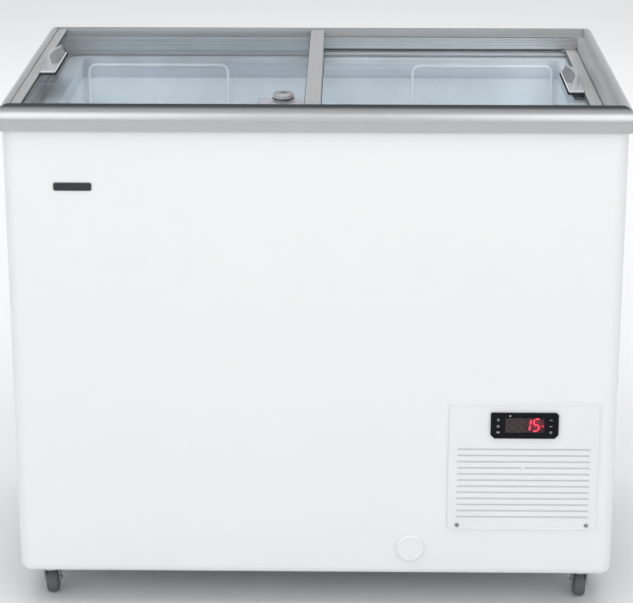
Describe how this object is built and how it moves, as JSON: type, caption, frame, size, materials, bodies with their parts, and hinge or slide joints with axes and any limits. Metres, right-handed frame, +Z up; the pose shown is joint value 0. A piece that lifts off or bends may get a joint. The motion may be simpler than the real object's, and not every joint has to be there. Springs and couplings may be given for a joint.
{
  "type": "ice cream dipping cabinet",
  "caption": "Insulated chest freezer with two flat sliding glass lids under a metal rim, a finger handle on each lid, a grille with a temperature controller, a drain cap and castors.",
  "frame": {"origin": "on the floor, at the middle of the footprint", "axes": "+Z up, +X to the right along the length, the front with the controller faces -Y"},
  "size_m": [1.03, 0.66, 0.9069],
  "materials": {
    "white_steel": "gloss",
    "galvanised_sheet": "satin",
    "insulation": "matte",
    "liner": "satin",
    "collar_plastic": "satin",
    "rim_aluminium": "satin",
    "lid_frame": "satin",
    "lid_glass": "gloss",
    "handle_plastic": "satin",
    "pad_rubber": "matte",
    "lock_metal": "satin",
    "grille_plastic": "satin",
    "screw_steel": "satin",
    "controller_plastic": "satin",
    "key_plastic": "satin",
    "display_lens": "gloss",
    "cap_plastic": "satin",
    "condenser_metal": "satin",
    "fan_plastic": "satin",
    "motor_steel": "satin",
    "compressor_enamel": "gloss",
    "copper": "satin",
    "castor_steel": "satin",
    "castor_tread": "matte"
  },
  "bodies": {
    "cabinet": {"outer_shell": "white_steel", "rear_panel": "galvanised_sheet", "base_pan": "galvanised_sheet", "compressor_tray": "galvanised_sheet", "compartment_lining": "galvanised_sheet", "foam_insulation": "insulation", "liner_band": "liner", "liner_front": "liner", "liner_rear": "liner", "throat_collar": "collar_plastic", "rim_rail_front": "rim_aluminium", "rim_rail_right": "rim_aluminium", "rim_rail_rear": "rim_aluminium", "rim_rail_left": "rim_aluminium", "grille_panel": "grille_plastic", "grille_screw_left": "screw_steel", "grille_screw_right": "screw_steel", "controller_housing": "controller_plastic", "display_lens": "display_lens", "drain_pipe": "cap_plastic", "condenser": "condenser_metal", "fan_shroud": "galvanised_sheet", "fan_motor": "motor_steel", "compressor": "compressor_enamel", "relay_box": "controller_plastic", "filter_drier": "copper", "discharge_pipe": "copper", "power_inlet_gland": "controller_plastic", "castor_plate_front_left": "castor_steel", "castor_plate_rear_left": "castor_steel", "castor_plate_front_right": "castor_steel", "castor_plate_rear_right": "castor_steel"},
    "upper_lid": {"upper_lid_end_frame": "lid_frame", "upper_lid_meeting_bar": "lid_frame", "upper_lid_glass": "lid_glass", "upper_lid_handle": "handle_plastic", "upper_lid_handle_pad": "pad_rubber", "lock_body": "lock_metal"},
    "lower_lid": {"lower_lid_end_frame": "lid_frame", "lower_lid_meeting_bar": "lid_frame", "lower_lid_glass": "lid_glass", "lower_lid_handle": "handle_plastic", "lower_lid_handle_pad": "pad_rubber"},
    "lock_cylinder": {"lock_cylinder": "lock_metal"},
    "drain_cap": {"drain_cap": "cap_plastic"},
    "fan": {"fan_blade": "fan_plastic"},
    "key_left_top": {"key_left_top": "key_plastic"},
    "key_left_middle": {"key_left_middle": "key_plastic"},
    "key_left_bottom": {"key_left_bottom": "key_plastic"},
    "key_right_top": {"key_right_top": "key_plastic"},
    "key_right_middle": {"key_right_middle": "key_plastic"},
    "key_right_bottom": {"key_right_bottom": "key_plastic"},
    "castor_fork_front_left": {"castor_fork_front_left": "castor_steel"},
    "castor_wheel_front_left": {"castor_wheel_front_left": "castor_tread"},
    "castor_fork_rear_left": {"castor_fork_rear_left": "castor_steel"},
    "castor_wheel_rear_left": {"castor_wheel_rear_left": "castor_tread"},
    "castor_fork_front_right": {"castor_fork_front_right": "castor_steel"},
    "castor_wheel_front_right": {"castor_wheel_front_right": "castor_tread"},
    "castor_fork_rear_right": {"castor_fork_rear_right": "castor_steel"},
    "castor_wheel_rear_right": {"castor_wheel_rear_right": "castor_tread"}
  },
  "joints": [
    {"name": "upper_lid_slide", "type": "slide", "parent": "cabinet", "child": "upper_lid", "axis": [1, 0, 0], "range_m": [0, 0.4]},
    {"name": "lower_lid_slide", "type": "slide", "parent": "cabinet", "child": "lower_lid", "axis": [1, 0, 0], "range_m": [-0.4, 0]},
    {"name": "lock_turn", "type": "hinge", "parent": "upper_lid", "child": "lock_cylinder", "pos_m": [-0.053, -0.243, 0.88], "axis": [0, 0, 1], "range_deg": [0, 90]},
    {"name": "drain_cap_pull", "type": "slide", "parent": "cabinet", "child": "drain_cap", "axis": [0, -1, 0], "range_m": [0, 0.03]},
    {"name": "fan_spin", "type": "hinge", "parent": "cabinet", "child": "fan", "pos_m": [0.36, -0.24, 0.187], "axis": [0, 1, 0], "continuous": true},
    {"name": "key_left_top_press", "type": "slide", "parent": "cabinet", "child": "key_left_top", "axis": [0, 1, 0], "range_m": [0, 0.0006], "stiffness_N_per_m": 600},
    {"name": "key_left_middle_press", "type": "slide", "parent": "cabinet", "child": "key_left_middle", "axis": [0, 1, 0], "range_m": [0, 0.0006], "stiffness_N_per_m": 600},
    {"name": "key_left_bottom_press", "type": "slide", "parent": "cabinet", "child": "key_left_bottom", "axis": [0, 1, 0], "range_m": [0, 0.0006], "stiffness_N_per_m": 600},
    {"name": "key_right_top_press", "type": "slide", "parent": "cabinet", "child": "key_right_top", "axis": [0, 1, 0], "range_m": [0, 0.0006], "stiffness_N_per_m": 600},
    {"name": "key_right_middle_press", "type": "slide", "parent": "cabinet", "child": "key_right_middle", "axis": [0, 1, 0], "range_m": [0, 0.0006], "stiffness_N_per_m": 600},
    {"name": "key_right_bottom_press", "type": "slide", "parent": "cabinet", "child": "key_right_bottom", "axis": [0, 1, 0], "range_m": [0, 0.0006], "stiffness_N_per_m": 600},
    {"name": "castor_swivel_front_left", "type": "hinge", "parent": "cabinet", "child": "castor_fork_front_left", "pos_m": [-0.459, -0.274, 0.061], "axis": [0, 0, 1], "continuous": true},
    {"name": "castor_spin_front_left", "type": "hinge", "parent": "castor_fork_front_left", "child": "castor_wheel_front_left", "pos_m": [-0.459, -0.258, 0.025], "axis": [1, 0, 0], "continuous": true},
    {"name": "castor_swivel_rear_left", "type": "hinge", "parent": "cabinet", "child": "castor_fork_rear_left", "pos_m": [-0.459, 0.274, 0.061], "axis": [0, 0, 1], "continuous": true},
    {"name": "castor_spin_rear_left", "type": "hinge", "parent": "castor_fork_rear_left", "child": "castor_wheel_rear_left", "pos_m": [-0.459, 0.29, 0.025], "axis": [1, 0, 0], "continuous": true},
    {"name": "castor_swivel_front_right", "type": "hinge", "parent": "cabinet", "child": "castor_fork_front_right", "pos_m": [0.459, -0.274, 0.061], "axis": [0, 0, 1], "continuous": true},
    {"name": "castor_spin_front_right", "type": "hinge", "parent": "castor_fork_front_right", "child": "castor_wheel_front_right", "pos_m": [0.459, -0.258, 0.025], "axis": [1, 0, 0], "continuous": true},
    {"name": "castor_swivel_rear_right", "type": "hinge", "parent": "cabinet", "child": "castor_fork_rear_right", "pos_m": [0.459, 0.274, 0.061], "axis": [0, 0, 1], "continuous": true},
    {"name": "castor_spin_rear_right", "type": "hinge", "parent": "castor_fork_rear_right", "child": "castor_wheel_rear_right", "pos_m": [0.459, 0.29, 0.025], "axis": [1, 0, 0], "continuous": true}
  ]
}
